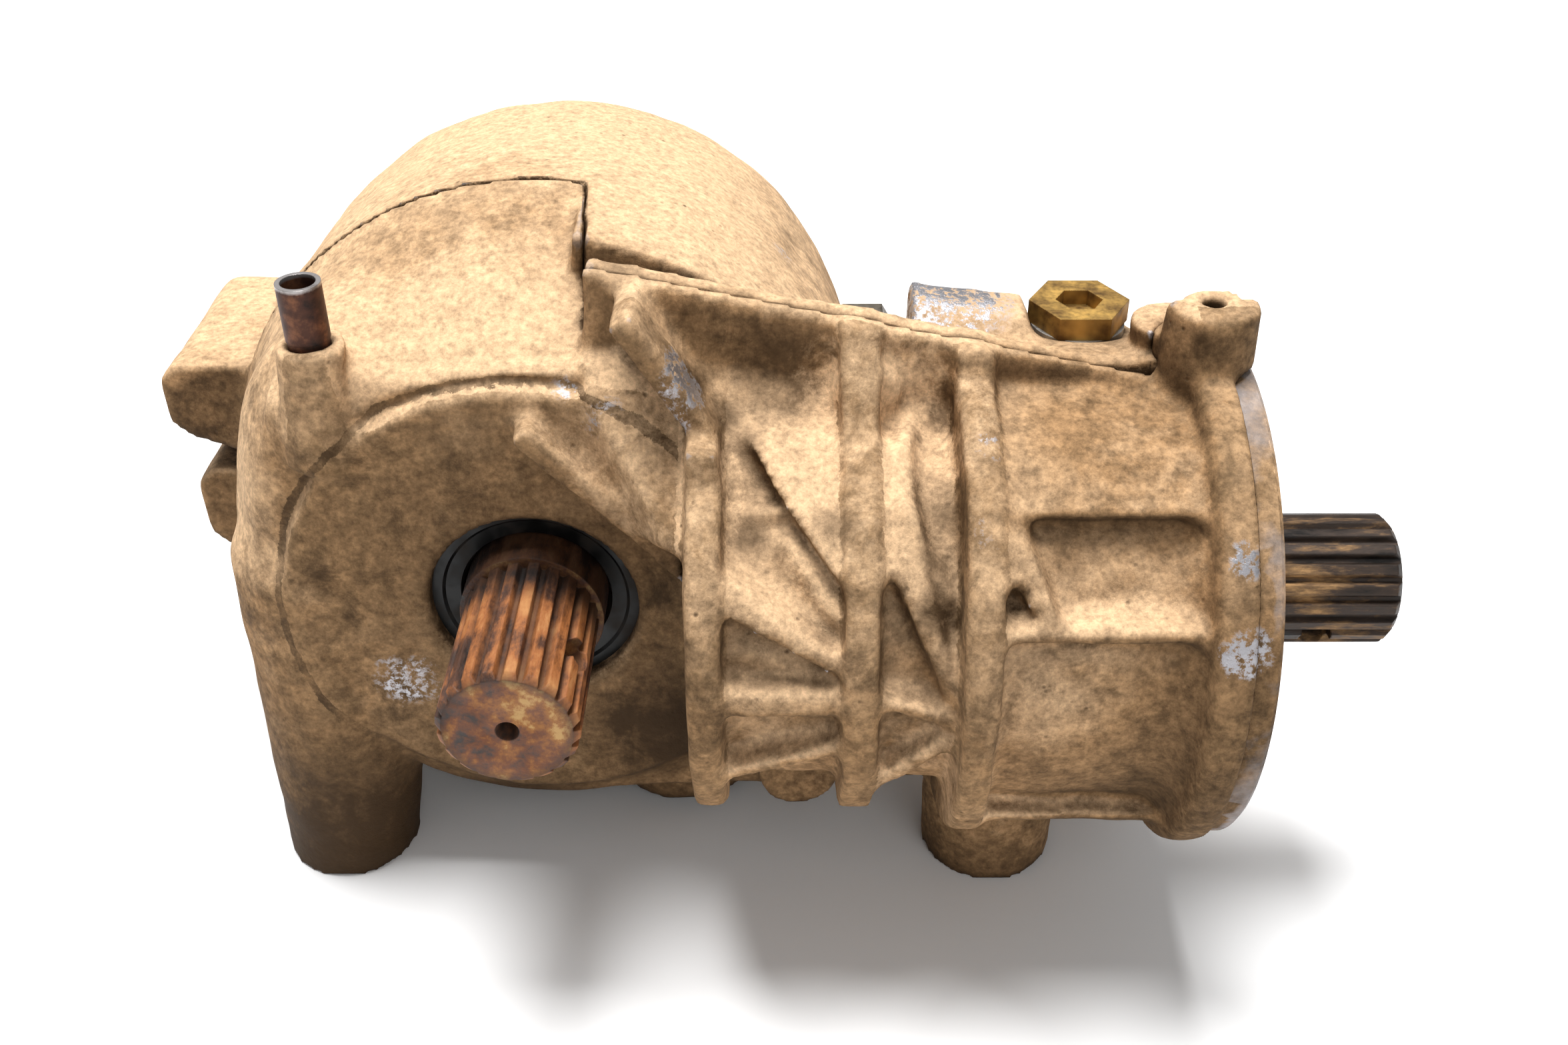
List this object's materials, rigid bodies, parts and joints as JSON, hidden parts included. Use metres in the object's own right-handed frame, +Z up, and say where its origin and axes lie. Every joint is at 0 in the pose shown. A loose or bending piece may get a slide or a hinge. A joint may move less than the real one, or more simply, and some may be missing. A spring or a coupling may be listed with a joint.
{
  "type": "front differential",
  "caption": "Right-angle front differential in a dusty two-part aluminium case, with a ribbed nose, splined input and splined outputs, mounting feet, side lugs and a vent tube.",
  "frame": {"origin": "on the output axis, in the plane of the front seal face", "axes": "+X along the pinion axis to the input spline, +Y back from the front output, +Z up"},
  "size_m": [0.255, 0.2091, 0.1422],
  "materials": {
    "cast_aluminium": "as-cast, caked in dry dust",
    "machined_steel": "machined",
    "bearing_steel": "ground",
    "gear_steel": "machined and hardened",
    "rusty_shaft": "surface rust",
    "dark_shaft": "dark, oily and dusty",
    "seal_rubber": "black rubber",
    "bolt_steel": "zinc-plated, dull",
    "vent_steel": "rusted, bare at the rim",
    "soft_washer": "soft metal sealing washer",
    "bronze_washer": "bronze thrust washer"
  },
  "bodies": {
    "housing": {"front_housing": "cast_aluminium", "rear_housing": "cast_aluminium", "housing_bolts": "bolt_steel", "end_cover": "cast_aluminium", "end_cover_oring": "seal_rubber", "end_cover_bolts": "bolt_steel", "vent_tube": "vent_steel", "fill_plug": "bolt_steel", "fill_plug_washer": "soft_washer", "drain_plug": "bolt_steel", "drain_plug_washer": "soft_washer", "front_output_seal": "seal_rubber", "rear_output_seal": "seal_rubber", "pinion_seal": "seal_rubber", "front_carrier_bearing_outer_ring": "bearing_steel", "rear_carrier_bearing_outer_ring": "bearing_steel", "inner_pinion_bearing_outer_ring": "bearing_steel", "outer_pinion_bearing_outer_ring": "bearing_steel"},
    "carrier": {"ring_gear": "gear_steel", "ring_gear_bolts": "bolt_steel", "diff_case": "machined_steel", "diff_case_cap": "machined_steel", "diff_case_cap_bolts": "bolt_steel", "cross_pin": "machined_steel", "cross_pin_lock": "machined_steel", "front_carrier_bearing_inner_ring": "bearing_steel", "rear_carrier_bearing_inner_ring": "bearing_steel", "front_side_washer": "bronze_washer", "rear_side_washer": "bronze_washer", "upper_spider_washer": "bronze_washer", "lower_spider_washer": "bronze_washer"},
    "pinion": {"pinion_shaft": "dark_shaft", "pinion_spacer": "machined_steel", "pinion_snap_ring": "bearing_steel", "inner_pinion_bearing_inner_ring": "bearing_steel", "outer_pinion_bearing_inner_ring": "bearing_steel"},
    "front_output": {"front_output_shaft": "rusty_shaft", "front_side_gear": "gear_steel"},
    "rear_output": {"rear_output_shaft": "rusty_shaft", "rear_side_gear": "gear_steel"},
    "upper_spider": {"upper_spider_gear": "gear_steel"},
    "lower_spider": {"lower_spider_gear": "gear_steel"},
    "front_carrier_rollers": {"front_carrier_bearing_rollers": "bearing_steel"},
    "rear_carrier_rollers": {"rear_carrier_bearing_rollers": "bearing_steel"},
    "inner_pinion_rollers": {"inner_pinion_bearing_rollers": "bearing_steel"},
    "outer_pinion_rollers": {"outer_pinion_bearing_rollers": "bearing_steel"}
  },
  "joints": [
    {"name": "carrier_spin", "type": "hinge", "parent": "housing", "child": "carrier", "pos_m": [0, 0.01, 0], "axis": [0, 1, 0], "continuous": true},
    {"name": "pinion_spin", "type": "hinge", "parent": "housing", "child": "pinion", "pos_m": [0, 0.01, 0], "axis": [1, 0, 0], "continuous": true},
    {"name": "front_carrier_rollers_spin", "type": "hinge", "parent": "housing", "child": "front_carrier_rollers", "pos_m": [0, 0.019, 0], "axis": [0, 1, 0], "continuous": true},
    {"name": "rear_carrier_rollers_spin", "type": "hinge", "parent": "housing", "child": "rear_carrier_rollers", "pos_m": [0, 0.112, 0], "axis": [0, 1, 0], "continuous": true},
    {"name": "inner_pinion_rollers_spin", "type": "hinge", "parent": "housing", "child": "inner_pinion_rollers", "pos_m": [0.07, 0.01, 0], "axis": [1, 0, 0], "continuous": true},
    {"name": "outer_pinion_rollers_spin", "type": "hinge", "parent": "housing", "child": "outer_pinion_rollers", "pos_m": [0.111, 0.01, 0], "axis": [1, 0, 0], "continuous": true},
    {"name": "front_output_spin", "type": "hinge", "parent": "carrier", "child": "front_output", "pos_m": [0, 0.066, 0], "axis": [0, 1, 0], "continuous": true},
    {"name": "rear_output_spin", "type": "hinge", "parent": "carrier", "child": "rear_output", "pos_m": [0, 0.066, 0], "axis": [0, 1, 0], "continuous": true},
    {"name": "upper_spider_spin", "type": "hinge", "parent": "carrier", "child": "upper_spider", "pos_m": [0, 0.066, 0], "axis": [0, 0, 1], "continuous": true},
    {"name": "lower_spider_spin", "type": "hinge", "parent": "carrier", "child": "lower_spider", "pos_m": [0, 0.066, 0], "axis": [0, 0, 1], "continuous": true}
  ],
  "couplings": [
    {"joint": "pinion_spin", "follows": "carrier_spin", "ratio": -3},
    {"joint": "front_carrier_rollers_spin", "follows": "carrier_spin", "ratio": 0.4536},
    {"joint": "rear_carrier_rollers_spin", "follows": "carrier_spin", "ratio": 0.4536},
    {"joint": "inner_pinion_rollers_spin", "follows": "carrier_spin", "ratio": -1.2717},
    {"joint": "outer_pinion_rollers_spin", "follows": "carrier_spin", "ratio": -1.2717},
    {"joint": "rear_output_spin", "follows": "front_output_spin", "ratio": -1},
    {"joint": "upper_spider_spin", "follows": "front_output_spin", "ratio": 1.6},
    {"joint": "lower_spider_spin", "follows": "front_output_spin", "ratio": -1.6}
  ]
}
